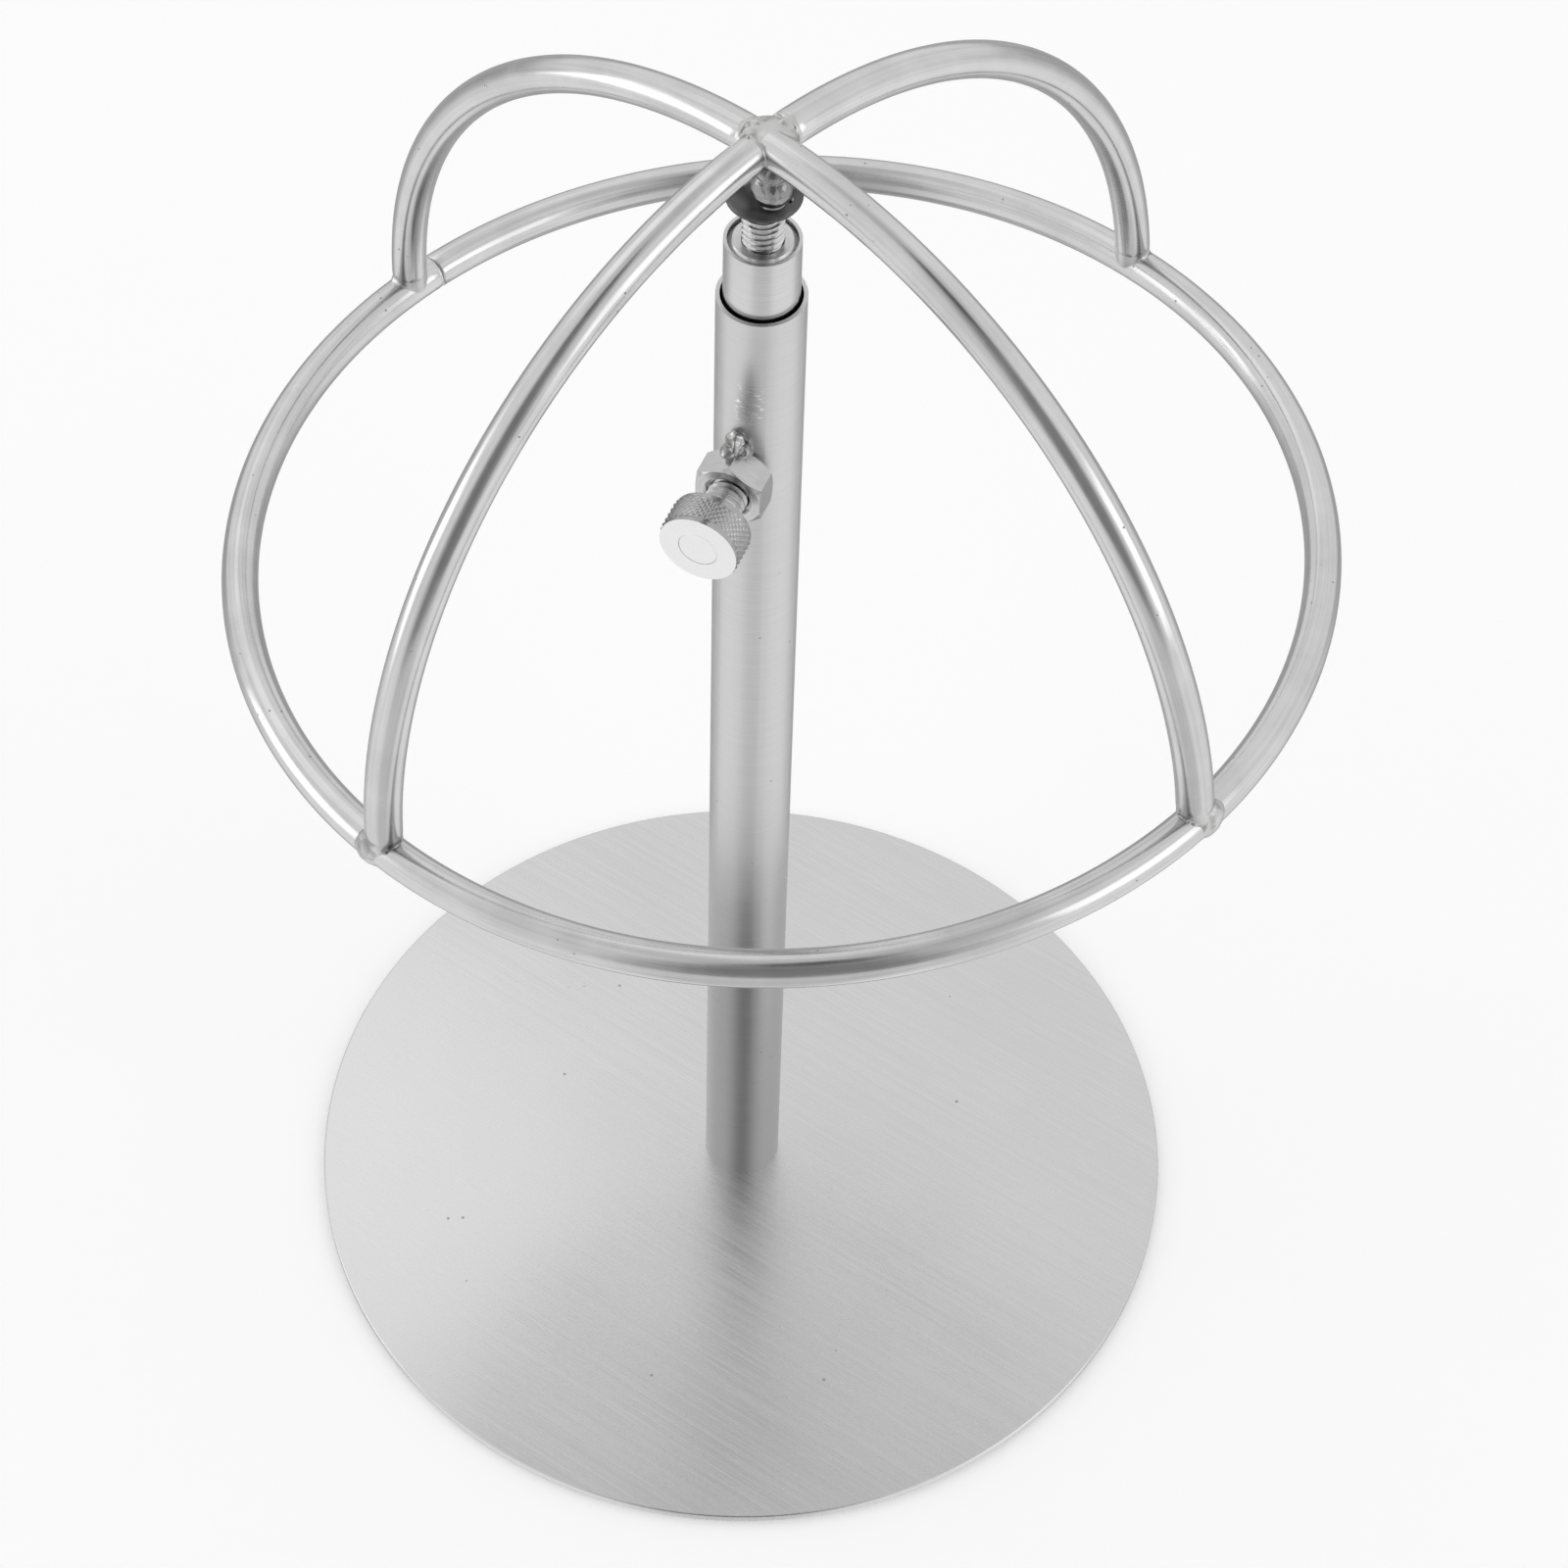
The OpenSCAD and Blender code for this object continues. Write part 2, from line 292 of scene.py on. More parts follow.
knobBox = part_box("thumb_knob")
axisZ = (knobBox[0].z + knobBox[1].z) / 2  # height of the thumbscrew's axis
plateFinish = makePlateFinish()
postFinish = makeTubeFinish("brushedPost", base=0.58, rough=0.32, scratched=1)
innerFinish = makeTubeFinish("brushedInner", base=0.57, rough=0.22, scratched=0)
wireFinish = makeWireFinish()
weldFinish = makeWeldFinish("groundWeld", base=0.6, rough=0.32, dark=0.5, depth=0.00012)
nuggetFinish = makeWeldFinish("darkNugget", base=0.3, rough=0.16, dark=0.5, depth=0.00004)
tackFinish = makeWeldFinish("tackWeld", base=0.46, rough=0.24, dark=0.6, depth=0.00005)
# a point on the axis, and the turn in degrees that stands it upright
onThumb = {"centre": (0, 0, axisZ), "turn": (90, 0, 0)}
onPost = {"centre": (0, 0, 0), "turn": (0, 0, 0)}
knobFinish = makeTurnedFinish("brightNickel", base=0.76, rough=0.3, ringScale=2600, **onThumb,
                              depth=0.000003, contrast=0.08)
# a darker copy of the knob's nickel for the knurl: painted shade
knurlShadedFinish = makeTurnedFinish("knurledNickelShaded", base=0.4, rough=0.17, ringScale=2600, **onThumb)
nutFinish = makeTurnedFinish("satinNut", base=0.5, rough=0.19, ringScale=2200, **onThumb)
studFinish = makeTurnedFinish("studThread", base=0.6, rough=0.24, ringScale=3000, **onThumb)
screwFinish = makeTurnedFinish("darkScrew", base=0.1, rough=0.34, ringScale=2400, **onPost)
threadFinish = makeTurnedFinish("hubThread", base=0.62, rough=0.12, ringScale=3000, **onPost)
plugFinish = makeTurnedFinish("turnedPlug", base=0.56, rough=0.24, ringScale=2600, **onPost)
print("finishes made")


# mesh, materials, body and the CAD nodes that a finished piece stands for
def addPiece(bm, name, body, materials, nodes, sharp):
    bmesh.ops.remove_doubles(bm, verts=bm.verts, dist=weldReach)
    bmesh.ops.recalc_face_normals(bm, faces=bm.faces)
    mesh = bpy.data.meshes.new(name)
    bm.to_mesh(mesh)
    bm.free()
    piece = bpy.data.objects.new(name, mesh)
    scene.collection.objects.link(piece)
    for material in materials:
        mesh.materials.append(material)
    mesh.shade_smooth()
    mesh.set_sharp_from_angle(angle=math.radians(sharp))
    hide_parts(*nodes)
    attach(piece, body)
    return piece


# an outline of (radius, height) points in mm, turned once about Z
def turnOutline(bm, outline, steps=96, closed=True):
    points = [bm.verts.new((r * mm, 0, z * mm)) for r, z in outline]
    edges = [bm.edges.new(pair) for pair in zip(points, points[1:])]
    if closed:
        edges.append(bm.edges.new((points[-1], points[0])))
    spinRound(bm, points + edges, steps)


# one full turn about Z, joined up where it meets
def spinRound(bm, geom, steps):
    bmesh.ops.spin(bm, geom=geom, cent=(0, 0, 0), axis=(0, 0, 1), dvec=(0, 0, 0),
                   angle=math.tau, steps=steps, use_merge=True, use_duplicate=False)
    bmesh.ops.remove_doubles(bm, verts=bm.verts, dist=weldReach)


# moves a finished bmesh into another one
def joinInto(bm, other):
    mesh = bpy.data.meshes.new("part")
    other.to_mesh(mesh)
    other.free()
    bm.from_mesh(mesh)
    bpy.data.meshes.remove(mesh)


# an arc of round wire about Z, from a start over a sweep in degrees: radius, wire and bevel in mm
# "wirePlace" keeps where each point lies across the wire and how far along it
def wireArc(radius, wire, start, sweep, steps, matrix, around=32, bevel=0):
    bm = bmesh.new()
    made = bmesh.ops.create_circle(bm, cap_ends=True, segments=around, radius=wire / 2 * mm)
    stand = Matrix.Rotation(math.radians(start), 4, "Z") @ Matrix.Translation((radius * mm, 0, 0))
    stand = stand @ Matrix.Rotation(math.radians(90), 4, "X")
    bmesh.ops.transform(bm, matrix=stand, verts=made["verts"])
    bmesh.ops.spin(bm, geom=bm.verts[:] + bm.edges[:] + bm.faces[:], cent=(0, 0, 0), axis=(0, 0, 1),
                   dvec=(0, 0, 0), angle=math.radians(sweep), steps=steps, use_merge=False,
                   use_duplicate=False)
    if bevel:
        ends = [edge for edge in bm.edges if any(len(face.verts) > 4 for face in edge.link_faces)]
        bmesh.ops.bevel(bm, geom=ends, offset=bevel * mm, segments=3, profile=0.5, affect="EDGES",
                        material=-1)
    layer = bm.verts.layers.float_vector.new("wirePlace")
    for vert in bm.verts:
        across = vert.co.xy.length - radius * mm
        along = math.atan2(vert.co.y, vert.co.x) * radius * mm
        vert[layer] = Vector((across, vert.co.z, along))
    bmesh.ops.transform(bm, matrix=matrix, verts=bm.verts)
    return bm


# a threaded rod along Z: the flank line of one pitch is spun upwards, then both ends are cut square
def threadRod(bm, minor, major, pitch, low, high):
    stepsPerTurn = 36
    flat = pitch * 0.12  # width of the crest and the root
    line = [(minor, 0), (minor, flat), (major, pitch / 2 - flat / 2), (major, pitch / 2 + flat / 2),
            (minor, pitch - flat), (minor, pitch)]
    turns = math.ceil((high - low) / pitch) + 2
    points = [bm.verts.new((r * mm, 0, (low - pitch + z) * mm)) for r, z in line]
    edges = [bm.edges.new(pair) for pair in zip(points, points[1:])]
    bmesh.ops.spin(bm, geom=points + edges, cent=(0, 0, 0), axis=(0, 0, 1),
                   dvec=(0, 0, pitch * mm / stepsPerTurn), angle=math.tau * turns,
                   steps=turns * stepsPerTurn, use_merge=False, use_duplicate=False)
    bmesh.ops.remove_doubles(bm, verts=bm.verts, dist=1e-6)
    for height, up in ((low, -1), (high, 1)):
        everything = bm.verts[:] + bm.edges[:] + bm.faces[:]
        bmesh.ops.bisect_plane(bm, geom=everything, dist=1e-8, plane_co=(0, 0, height * mm),
                               plane_no=(0, 0, up), clear_outer=True)
        rim = [edge for edge in bm.edges if edge.is_boundary
               and all(abs(vert.co.z - height * mm) < 1e-7 for vert in edge.verts)]
        bmesh.ops.edgeloop_fill(bm, edges=rim)


# rough round lump: radii in mm, with a wobble that is the same at each run
def addLump(bm, centre, radii, wobble):
    made = bmesh.ops.create_icosphere(bm, subdivisions=3, radius=1)
    for vert in made["verts"]:
        swell = 1 + wobble * noise.noise(vert.co * wobbleScale + Vector(centre))
        vert.co = Vector(r * mm * c * swell for r, c in zip(radii, vert.co))
    bmesh.ops.transform(bm, matrix=Matrix.Translation(Vector(centre) * mm), verts=made["verts"])
    return made["verts"]


# melts overlapping lumps and wires into one smooth skin, as weld metal flows
def meltTogether(bm, voxel, smoothing):
    bmesh.ops.recalc_face_normals(bm, faces=bm.faces)
    mesh = bpy.data.meshes.new("melt")
    bm.to_mesh(mesh)
    bm.free()
    temp = bpy.data.objects.new("melt", mesh)
    scene.collection.objects.link(temp)
    remesh = temp.modifiers.new("remesh", "REMESH")
    remesh.mode = "VOXEL"
    remesh.voxel_size = voxel * mm
    soften = temp.modifiers.new("soften", "SMOOTH")
    soften.factor = 0.5
    soften.iterations = smoothing
    bpy.context.view_layer.update()
    done = temp.evaluated_get(bpy.context.evaluated_depsgraph_get()).to_mesh()
    melted = bmesh.new()
    melted.from_mesh(done)
    bpy.data.objects.remove(temp)
    return melted


plate = {"rimBevel": 0.28, "rimSegments": 3, "screwHoleLow": 4.5, "screwHoleHigh": 3.0, "steps": 256}


def buildPlate():
    low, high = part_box("base_plate")
    radius = (high.x - low.x) / 2 / mm
    bm = bmesh.new()
    turnOutline(bm, [(plate["screwHoleLow"], 0), (radius, 0), (radius, high.z / mm),
                     (plate["screwHoleHigh"], high.z / mm)], plate["steps"])
    bmesh.ops.recalc_face_normals(bm, faces=bm.faces)
    rim = [edge for edge in bm.edges
           if all(vert.co.xy.length > (radius - 0.01) * mm for vert in edge.verts)
           and abs(edge.verts[0].co.z - edge.verts[1].co.z) < 1e-7]
    bmesh.ops.bevel(bm, geom=rim, offset=plate["rimBevel"] * mm, segments=plate["rimSegments"],
                    profile=0.5, affect="EDGES", material=-1)
    addPiece(bm, "basePlate", "stand", [plateFinish], ["base_plate"], sharp=60)


buildPlate()
for nodeName, material in (("base_screw", screwFinish), ("foot_plug", plugFinish),
                           ("post_tube", postFinish), ("inner_tube", innerFinish),
                           ("tube_plug", plugFinish)):
    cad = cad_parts[nodeName]
    cad.data.materials.clear()
    cad.data.materials.append(material)
print("base and tubes made")


thumb = {
    "pitch": 1.0, "minorDrop": 0.56, "knurlAround": 36, "knurlRows": 5, "knurlDepth": 0.27,
    "rimBevel": 0.25, "knobBore": 3.0, "studSink": 0.03,
    "studSlack": 0.02, "studChamfer": 0.06, "studPlain": 1.6,
    "nutMouth": 3.75, "nutBevel": 0.3, "nutBevelAngle": 22, "nutFlatAngle": 1.5}
alongThumb = Matrix.Translation((0, 0, axisZ)) @ Matrix.Rotation(math.radians(90), 4, "X")


def buildNut():
    bm = bmesh.new()
    bm.from_mesh(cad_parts["clamp_nut"].data)
    bmesh.ops.remove_doubles(bm, verts=bm.verts, dist=2e-6)
    bmesh.ops.dissolve_limit(bm, angle_limit=math.radians(thumb["nutFlatAngle"]), verts=bm.verts, edges=bm.edges)
    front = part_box("clamp_nut")[0].y
    for vert in bm.verts:  # the bore opens out to a countersink at the front
        around = Vector((vert.co.x, vert.co.z - axisZ))
        if around.length < thumb["nutMouth"] * mm and abs(vert.co.y - front) < 1e-5:
            around = around.normalized() * thumb["nutMouth"] * mm
            vert.co.x = around.x
            vert.co.z = around.y + axisZ
    piece = addPiece(bm, "clampNut", "stand", [nutFinish], ["clamp_nut"], sharp=25)
    soften = piece.modifiers.new("soften", "BEVEL")
    soften.width = thumb["nutBevel"] * mm
    soften.segments = 2
    soften.limit_method = "ANGLE"
    soften.angle_limit = math.radians(thumb["nutBevelAngle"])


def buildStud():
    low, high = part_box("thumb_stud")
    bm = bmesh.new()
    major = (high.x - low.x) / 2 / mm
    end = -low.y / mm - thumb["studSink"]
    plainFrom = end - thumb["studPlain"]
    threadRod(bm, major - thumb["minorDrop"], major, thumb["pitch"], -high.y / mm,
              end - thumb["studPlain"] / 2)
    plain = bmesh.new()  # its outer end is plain, and staked flush with the knob's face
    wide = major - thumb["studSlack"]
    chamfer = thumb["studChamfer"]
    turnOutline(plain, [(0, plainFrom), (wide, plainFrom), (wide, end - chamfer), (wide - chamfer, end),
                        (0, end)], closed=False)
    for face in bm.faces:
        face.material_index = 1
    joinInto(bm, plain)
    bmesh.ops.transform(bm, matrix=alongThumb, verts=bm.verts)
    addPiece(bm, "thumbStud", "thumbscrew", [knobFinish, studFinish],
             ["thumb_stud"], sharp=30)


def buildKnob():
    low, high = knobBox
    radius = (high.x - low.x) / 2 / mm
    inner, outer = -high.y / mm, -low.y / mm  # along the thumbscrew
    bore = thumb["knobBore"]
    bevel = thumb["rimBevel"]
    bm = bmesh.new()
    # the wall is a grid of near squares, turned into diamonds and raised to points
    rows = thumb["knurlRows"]
    root = radius - thumb["knurlDepth"]
    step = (outer - inner - 2 * bevel) / rows
    line = [bm.verts.new((root * mm, 0, (inner + bevel + step * n) * mm)) for n in range(rows + 1)]
    edges = [bm.edges.new(pair) for pair in zip(line, line[1:])]
    spinRound(bm, line + edges, thumb["knurlAround"])
    bmesh.ops.recalc_face_normals(bm, faces=bm.faces)
    squares = [edge for edge in bm.edges if not edge.is_boundary]
    bmesh.ops.poke(bm, faces=bm.faces[:], offset=0)
    bmesh.ops.dissolve_edges(bm, edges=squares)
    diamonds = [face for face in bm.faces if len(face.verts) == 4]
    for vert in bm.verts:  # back onto the round wall
        vert.co.xy = vert.co.xy.normalized() * root * mm
    outward = sum(face.normal.dot(face.calc_center_median()) for face in diamonds) > 0
    depth = thumb["knurlDepth"] * mm
    bmesh.ops.poke(bm, faces=diamonds, offset=depth if outward else -depth)
    for vert in bm.verts:
        if vert.co.xy.length > radius * mm:
            vert.co.xy = vert.co.xy.normalized() * radius * mm
    # rims, faces and bore close it
    for height, away in ((inner, inner + bevel), (outer, outer - bevel)):
        ring = [edge for edge in bm.edges if edge.is_boundary
                and all(abs(vert.co.z - away * mm) < 1e-7 for vert in edge.verts)]
        for reach, level in ((radius - bevel, height), (bore, height)):
            made = bmesh.ops.extrude_edge_only(bm, edges=ring)["geom"]
            ring = [part for part in made if isinstance(part, bmesh.types.BMEdge)]
            for vert in {vert for edge in ring for vert in edge.verts}:
                vert.co.xy = vert.co.xy.normalized() * reach * mm
                vert.co.z = level * mm
    ends = [edge for edge in bm.edges if edge.is_boundary]
    bmesh.ops.bridge_loops(bm, edges=ends)
    for face in bm.faces:  # the knurl takes a darker copy of the same nickel as the face: painted shade on the knob's side
        face.material_index = int(face.calc_center_median().xy.length > (radius - bevel - 0.05) * mm)
    bmesh.ops.transform(bm, matrix=alongThumb, verts=bm.verts)
    addPiece(bm, "thumbKnob", "knob", [knobFinish, knurlShadedFinish], ["thumb_knob"],
             sharp=56)


# centre across, out and down from the top of the weld, radii, wobble
tackLumps = [
    (-0.8, -7.0, 1.75, (1.35, 1.0, 1.7), 0.2), (-1.2, -8.2, 3.1, (1.3, 1.3, 1.0), 0.2),
    (-0.3, -7.6, 2.5, (0.8, 1.2, 1.6), 0.2), (0.7, -7.4, 2.9, (1.2, 1.1, 1.1), 0.2),
    (-0.2, -7.0, 3.5, (2.2, 1.6, 0.9), 0.1)]
tackMelt = {"voxel": 0.12, "smoothing": 6}


def buildTack():
    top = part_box("nut_weld")[1].z / mm
    bm = bmesh.new()
    for x, y, down, radii, wobble in tackLumps:
        addLump(bm, (x, y, top - down), radii, wobble)
    bm = meltTogether(bm, tackMelt["voxel"], tackMelt["smoothing"])
    addPiece(bm, "tackWeld", "stand", [tackFinish], ["nut_weld"], sharp=180)


buildNut()
buildStud()
buildKnob()
buildTack()
print("thumbscrew made")


# edge: points in from the radius and up from the head's underside
hub = {"pitch": 1.0, "major": 3.0, "minorDrop": 0.56, "headHeight": 1.7, "headBore": 0.6,
       "rodInHead": 0.2, "edge": [(0.25, 0), (0.06, 0.1)], "rimHeight": 0.3, "domeSteps": 10,
       "domeFlatness": 0.8}


def buildHubScrew():
    low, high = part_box("hub_screw")
    radius = (high.x - low.x) / 2 / mm
    top = high.z / mm
    under = top - hub["headHeight"]
    bm = bmesh.new()
    threadRod(bm, hub["major"] - hub["minorDrop"], hub["major"], hub["pitch"], low.z / mm,
              under + hub["rodInHead"])
    for face in bm.faces:
        face.material_index = 1
    head = bmesh.new()
    bore = hub["headBore"]
    rim = under + hub["rimHeight"]
    outline = [(bore, under)] + [(radius - back, under + up) for back, up in hub["edge"]]
    outline.append((radius, rim))
    for n in range(1, hub["domeSteps"] + 1):  # a low dome
        angle = math.radians(90 * n / hub["domeSteps"])
        outline.append((bore + (radius - bore) * math.cos(angle) ** hub["domeFlatness"],
                        rim + (top - rim) * math.sin(angle)))
    turnOutline(head, outline)
    bmesh.ops.recalc_face_normals(head, faces=head.faces)
    joinInto(bm, head)
    addPiece(bm, "hubScrew", "hub", [screwFinish, threadFinish], ["hub_screw"],
             sharp=50)


buildHubScrew()
print("hub screw made")


cage = {
    "wire": 5.4, "ringRadius": 79.75, "dome": 77, "lean": 3.5, "leanTurn": 161,
    "weldHeight": 5.2, "ringClear": 0.2, "ringBevel": 0.3, "ribBevel": 0.8,
    "gap": 0.4, "gapTurn": 155.7, "ringSteps": 288, "ribSteps": 72, "around": 36}
cage["apex"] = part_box("hub_screw")[1].z / mm + cage["weldHeight"] + cage["wire"] / 2
cage["bend"] = (cage["ringRadius"] ** 2 + cage["dome"] ** 2) / (2 * cage["dome"])
onHub = Matrix.Translation((0, 0, cage["apex"] * mm))
onHub = onHub @ Matrix.Rotation(math.radians(cage["leanTurn"]), 4, "Z")
onHub = onHub @ Matrix.Rotation(math.radians(cage["lean"]), 4, "Y")
onHub = onHub @ Matrix.Rotation(math.radians(-cage["leanTurn"]), 4, "Z")
ribFoot = cage["bend"] - cage["dome"] + cage["wire"] / 2 + cage["ringClear"]
ribStart = math.degrees(math.asin(ribFoot / cage["bend"]))  # degrees up the bend
ribTurns = {"back_right": 69, "back_left": 159, "front_left": 249, "front_right": 339}


# the hub's place, turned about the dome's own axis
def beside(degrees):
    return onHub @ Matrix.Rotation(math.radians(degrees), 4, "Z")


# turns a bend made about Z into a rib that stands in the plane at that angle, its top at the apex
def standRib(turn):
    upright = beside(turn) @ Matrix.Translation((0, 0, -cage["bend"] * mm))
    return upright @ Matrix.Rotation(math.radians(90), 4, "X")


# ribFrontLeft from rib and front_left
def pieceName(kind, side):
    return kind + side.title().replace("_", "")


inRing = onHub @ Matrix.Translation((0, 0, -cage["dome"] * mm))


def buildRing():
    gapDegrees = math.degrees(cage["gap"] / cage["ringRadius"])
    bm = wireArc(cage["ringRadius"], cage["wire"], cage["gapTurn"] + gapDegrees / 2, 360 - gapDegrees,
                 cage["ringSteps"], inRing, cage["around"], cage["ringBevel"])
    addPiece(bm, "cageRing", "cage", [wireFinish], ["cage_ring"], sharp=50)


def buildRib(side, turn, short):
    bm = wireArc(cage["bend"], cage["wire"], ribStart, 90 - ribStart - short, cage["ribSteps"],
                 standRib(turn), cage["around"], cage["ribBevel"])
    addPiece(bm, pieceName("rib", side), "cage", [wireFinish], ["rib_" + side],
             sharp=50)


buildRing()
shortBy = {"back_right": 2.7, "back_left": 1.9, "front_left": 1.4, "front_right": 0.1}  # degrees
for side, turn in ribTurns.items():
    buildRib(side, turn, shortBy[side])
print("cage wires made")


# each lump: degrees round the ring from the rib, out from the ring's wire, up from it, then radii
ringWelds = {
    "front_left": [(-0.8, 1.3, 0.7, 2.2, 2.5, 3.1), (0.2, 0.4, 2.1, 2.0, 2.2, 1.9),
                   (1.3, 1.2, 2.1, 0.7, 0.6, 0.6)],
    "front_right": [(0.8, 1.3, 0.7, 2.2, 2.7, 3.1), (-0.2, 0.4, 2.1, 2.0, 2.3, 1.8),
                    (-1.6, 0.6, 2.4, 0.7, 0.6, 0.6)],
    "back_left": [(0.5, 0.2, 2.1, 2.0, 2.4, 1.7), (-1.4, 0.6, 1.9, 1.3, 1.3, 1.2)],
    "back_right": [(-0.5, 0.2, 2.1, 2.0, 2.4, 1.7), (1.3, 0.5, 1.9, 1.3, 1.3, 1.2)]}
# painted shade: dark spots in the crevices beside a rib's end, in the dark weld colour: degrees round from the
# rib, out, up, then how far they reach
creviceShadeSpots = {
    "front_left": [(1.9, 0.0, 2.7, 1.5), (1.5, 1.2, 2.2, 0.9)],
    "front_right": [(-2.1, -0.2, 2.6, 1.1), (2.1, -0.4, 2.5, 0.9)],
    "back_left": [(-2.0, 0.6, 2.2, 1.2)], "back_right": [(-2.1, 0.8, 2.2, 0.9)]}
# the soot scale serves the weld's real soot and the ragged edge of the painted crevice shade
weldMelt = {
    "voxel": 0.13, "smoothing": 6, "wireShare": 0.985, "ringSpan": 6.8, "ribBelow": 1.5, "ribSpan": 5.6,
    "hubFrom": 84, "hubSpan": 6, "wobble": 0.18, "creviceShadeRagged": 0.5, "sootAndShadeScale": 900}


# lumps of weld metal that fill the crossing of the ribs: centre from the apex, radii, wobble
hubLumps = [
    ((0.2, 0.6, 0.3), (4.2, 4.2, 2.3), 0.06), ((-1.9, 0.9, 0.7), (2.0, 1.6, 1.9), 0.25),
    ((-1.5, -1.9, 1.15), (1.1, 1.1, 1.6), 0.3), ((1.4, 2.9, 0.7), (1.8, 1.8, 1.8), 0.2),
    ((-0.3, -2.6, -0.4), (0.55, 0.55, 0.6), 0.2), ((0.5, -2.9, 0.3), (0.5, 0.5, 0.5), 0.2)]
# the bead that holds the screw to the ribs: balls up from the screw's head, then spatter
nugget = {
    "place": (1.7, -1.5), "wobble": 0.05, "spatterWobble": 0.3, "voxel": 0.1, "smoothing": 8,
    "balls": [(-0.1, 2.3, 1.3), (2.3, 2.9, 3.2), (5.0, 2.3, 1.8)],
    "spatter": [(2.6, 0.9, -0.1, 0.3), (-2.9, 0.4, 0.3, 0.3)]}


# a point beside the ring's wire: out from it and up from it in mm
def outOfRing(out, up):
    return Vector(((cage["ringRadius"] + out) * mm, 0, (up - cage["dome"]) * mm))


def buildRingWeld(side, turn):
    bm = bmesh.new()
    thin = cage["wire"] * weldMelt["wireShare"]
    joinInto(bm, wireArc(cage["ringRadius"], thin, turn - weldMelt["ringSpan"] / 2,
                         weldMelt["ringSpan"], steps=12, matrix=inRing))
    joinInto(bm, wireArc(cage["bend"], thin, ribStart - weldMelt["ribBelow"],
                         weldMelt["ribSpan"], steps=12, matrix=standRib(turn)))
    for around, out, up, across, along, high in ringWelds[side]:
        place = beside(turn + around) @ Matrix.Translation(outOfRing(out, up))
        lump = addLump(bm, (0, 0, 0), (across, along, high), weldMelt["wobble"])
        bmesh.ops.transform(bm, matrix=place, verts=lump)
    bm = meltTogether(bm, weldMelt["voxel"], weldMelt["smoothing"])
    # faces near each spot take the dark nugget colour with a ragged edge, as painted shade in the crevice
    for around, out, up, reach in creviceShadeSpots[side]:
        centre = beside(turn + around) @ outOfRing(out, up)
        for face in bm.faces:
            middle = face.calc_center_median()
            ragged = 1 + weldMelt["creviceShadeRagged"] * noise.noise(middle * weldMelt["sootAndShadeScale"])
            if (middle - centre).length < reach * mm * ragged:
                face.material_index = 1
    addPiece(bm, pieceName("ringWeld", side), "cage", [weldFinish, nuggetFinish],
             ["weld_" + side], sharp=180)


for side, turn in ribTurns.items():
    buildRingWeld(side, turn)


def buildHubWeld():
    apex = cage["apex"]
    bm = bmesh.new()
    thin = cage["wire"] * weldMelt["wireShare"]
    for side, turn in ribTurns.items():
        joinInto(bm, wireArc(cage["bend"], thin, weldMelt["hubFrom"] - shortBy[side],
                             weldMelt["hubSpan"], steps=10, matrix=standRib(turn)))
    for centre, radii, wobble in hubLumps:
        x, y, up = centre
        addLump(bm, (x, y, apex + up), radii, wobble)
    bm = meltTogether(bm, weldMelt["voxel"], weldMelt["smoothing"])
    addPiece(bm, "hubWeld", "cage", [weldFinish], ["hub_weld"], sharp=180)


def buildNugget():
    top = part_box("hub_screw")[1].z / mm
    bm = bmesh.new()
    x, y = nugget["place"]
    for up, radius, high in nugget["balls"]:
        addLump(bm, (x, y, top + up), (radius, radius, high), nugget["wobble"])
    for dx, dy, up, size in nugget["spatter"]:
        addLump(bm, (x + dx, y + dy, top + up), (size, size, size), nugget["spatterWobble"])
    bm = meltTogether(bm, nugget["voxel"], nugget["smoothing"])
    addPiece(bm, "hubNugget", "cage", [nuggetFinish], ["hub_weld"], sharp=180)


buildHubWeld()
buildNugget()
print("welds made")


studio = {
    "floorSize": 20.0, "floorTone": 0.95, "floorGlow": 0.09, "floorRough": 0.9, "worldStrength": 1.0,
    "camera": (0.15268, -0.38172, 0.64628), "cameraTurn": (37.369, -1.176, 22.588), "lens": 97.084,
    "towardsCamera": (0.374, 0.927), "lightsAimAt": (0, 0, 0.12)}
# name, place, size in metres, watts
lights = [("overhead", (-0.9, 0.5, 1.4), 0.9, 0.7), ("left", (-1.3, -0.5, 0.35), 0.8, 2.4),
          ("right", (1.3, -0.1, 0.6), 0.8, 1.8)]
# from one value to another, light goes away by the third number
tent = {
    "aboveFront": (0.78, 0.975, 0.72), "aboveTop": (0.86, 0.99, 0.25), "belowLevel": 1.12,
    "belowBack": (-0.05, -0.75, 0.62), "belowFront": (0.8, 0.98, 0.3), "horizon": (0.05, -0.12, 1)}


def lightPatch(tree, value, low, high, drop):
    return smoothStep(tree, value, low, high, 0, drop)


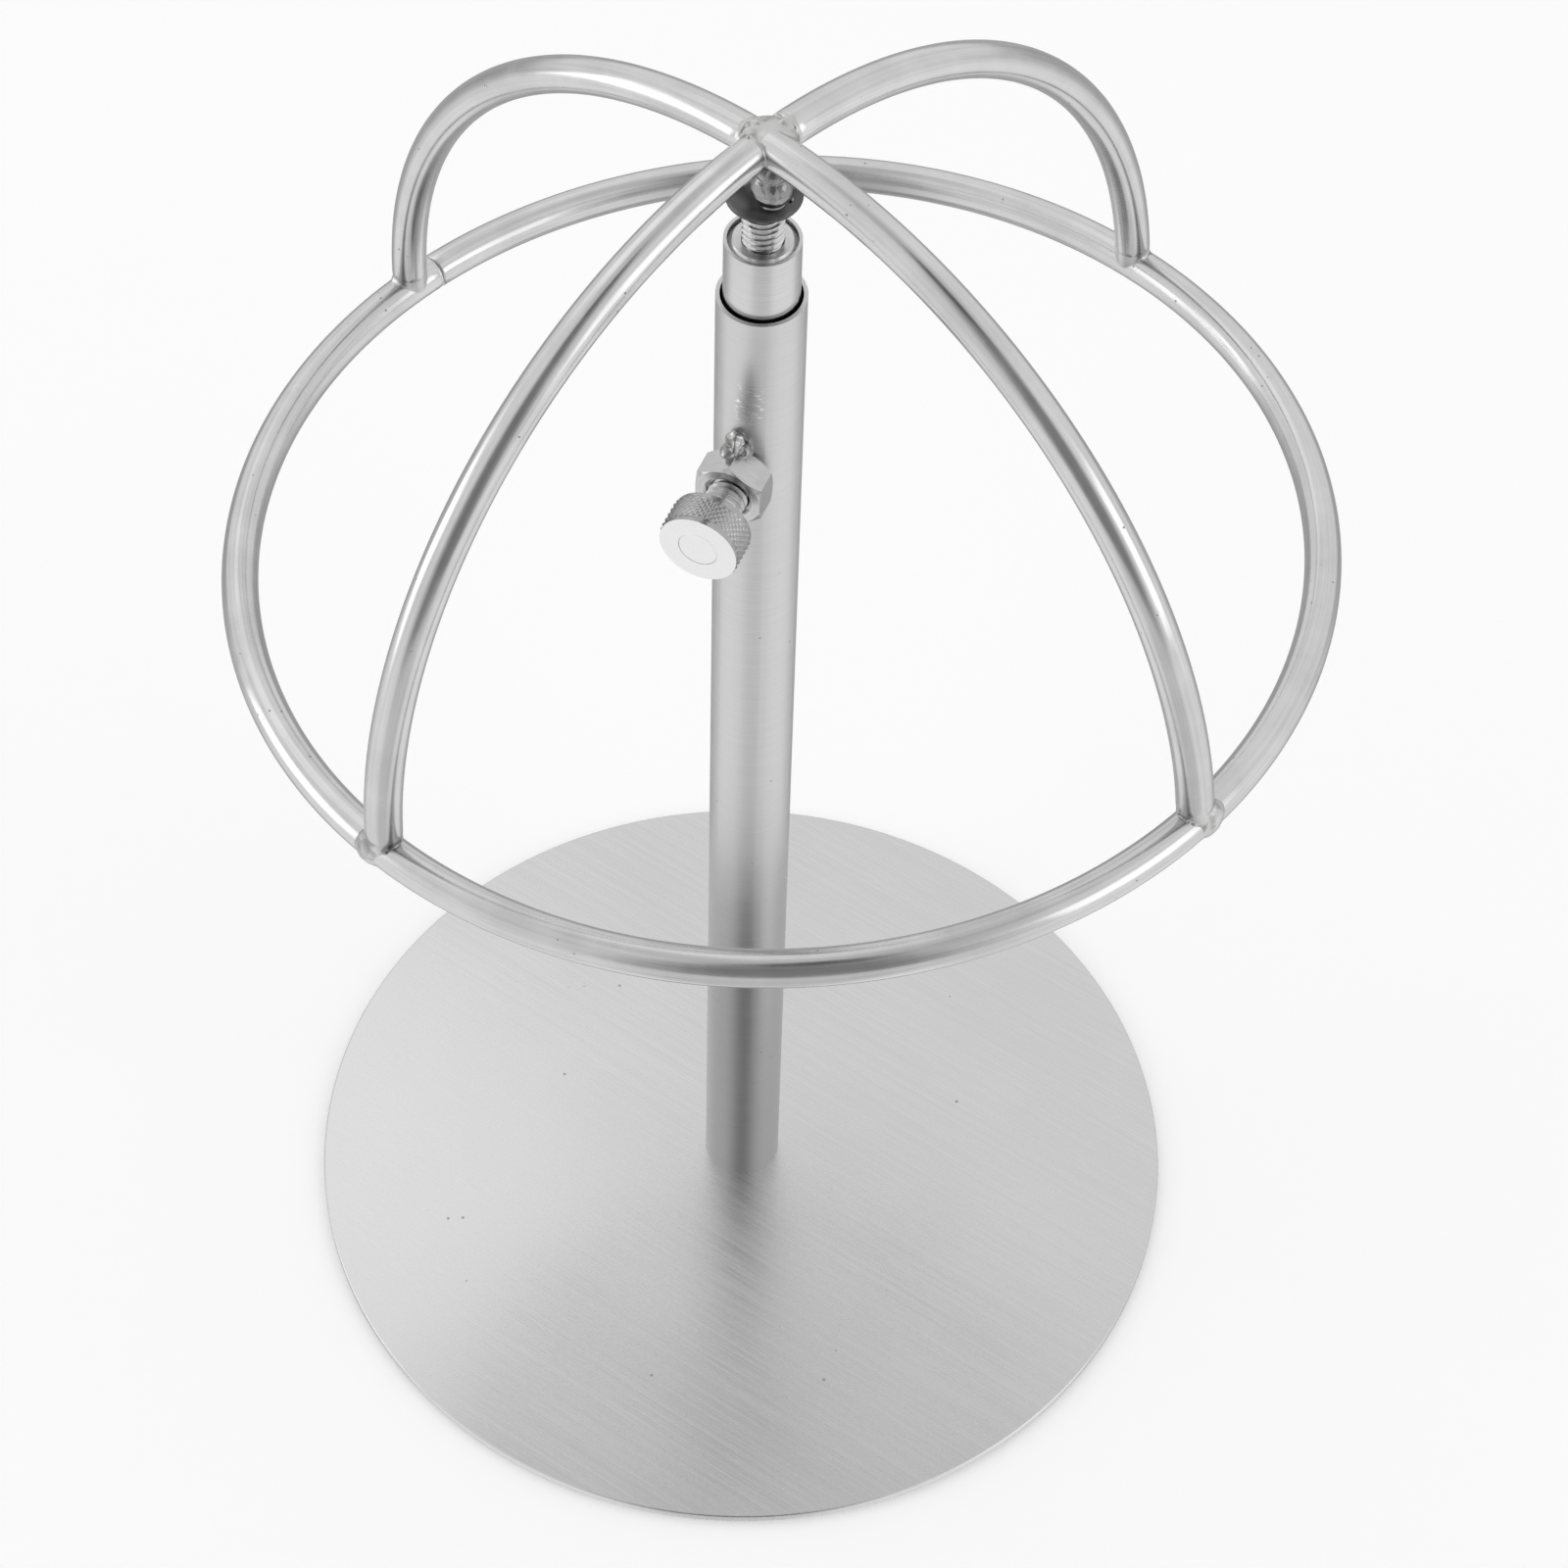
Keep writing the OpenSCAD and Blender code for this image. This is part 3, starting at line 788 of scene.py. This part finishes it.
def buildStudio():
    floorFinish = Finish("paleFloor", {
        "Metallic": 0.0, "Roughness": studio["floorRough"], "Base Color": grey(studio["floorTone"]),
        "Emission Color": grey(1), "Emission Strength": studio["floorGlow"]})
    bm = bmesh.new()
    bmesh.ops.create_grid(bm, x_segments=1, y_segments=1, size=studio["floorSize"] / 2)
    mesh = bpy.data.meshes.new("floor")
    bm.to_mesh(mesh)
    bm.free()
    mesh.materials.append(floorFinish.material)
    floor = bpy.data.objects.new("floor", mesh)
    scene.collection.objects.link(floor)
    floor.visible_glossy = False

    world = bpy.data.worlds.new("studio")
    scene.world = world
    world.use_nodes = True
    tree = world.node_tree
    direction = addNode(tree, "ShaderNodeTexCoord", out="Generated")
    x, y, z = splitVector(tree, direction)
    east, south = studio["towardsCamera"]
    flat = (x * x + y * y + 1e-6) ** 0.5
    front = (x * east - y * south) / flat  # 1 towards the camera, -1 straight away from it
    # a tent of light: open and dark on the camera's side, weaker at its top and low at the back
    above = 1.0 - lightPatch(tree, front, *tent["aboveFront"]) - lightPatch(tree, z, *tent["aboveTop"])
    below = tent["belowLevel"] - lightPatch(tree, front, *tent["belowBack"])
    below = below - lightPatch(tree, front, *tent["belowFront"])
    under = lightPatch(tree, z, *tent["horizon"])
    level = above * (1 - under) + below * under
    strength = level * studio["worldStrength"]
    background = tree.nodes["Background"]
    tree.links.new(strength.socket, background.inputs["Strength"])
    background.inputs["Color"].default_value = (1, 1, 1, 1)

    camera = bpy.data.objects.new("camera", bpy.data.cameras.new("camera"))
    scene.collection.objects.link(camera)
    camera.location = studio["camera"]
    camera.rotation_euler = [math.radians(a) for a in studio["cameraTurn"]]
    camera.data.lens = studio["lens"]
    camera.data.sensor_width = 36
    camera.data.clip_start = 0.01
    scene.camera = camera

    for name, place, size, power in lights:
        light = bpy.data.objects.new(name, bpy.data.lights.new(name, "AREA"))
        light.data.size = size
        light.data.energy = power
        light.location = place
        aim = Vector(studio["lightsAimAt"]) - Vector(place)
        light.rotation_euler = aim.to_track_quat("-Z", "Y").to_euler()
        scene.collection.objects.link(light)


buildStudio()
print("studio made")
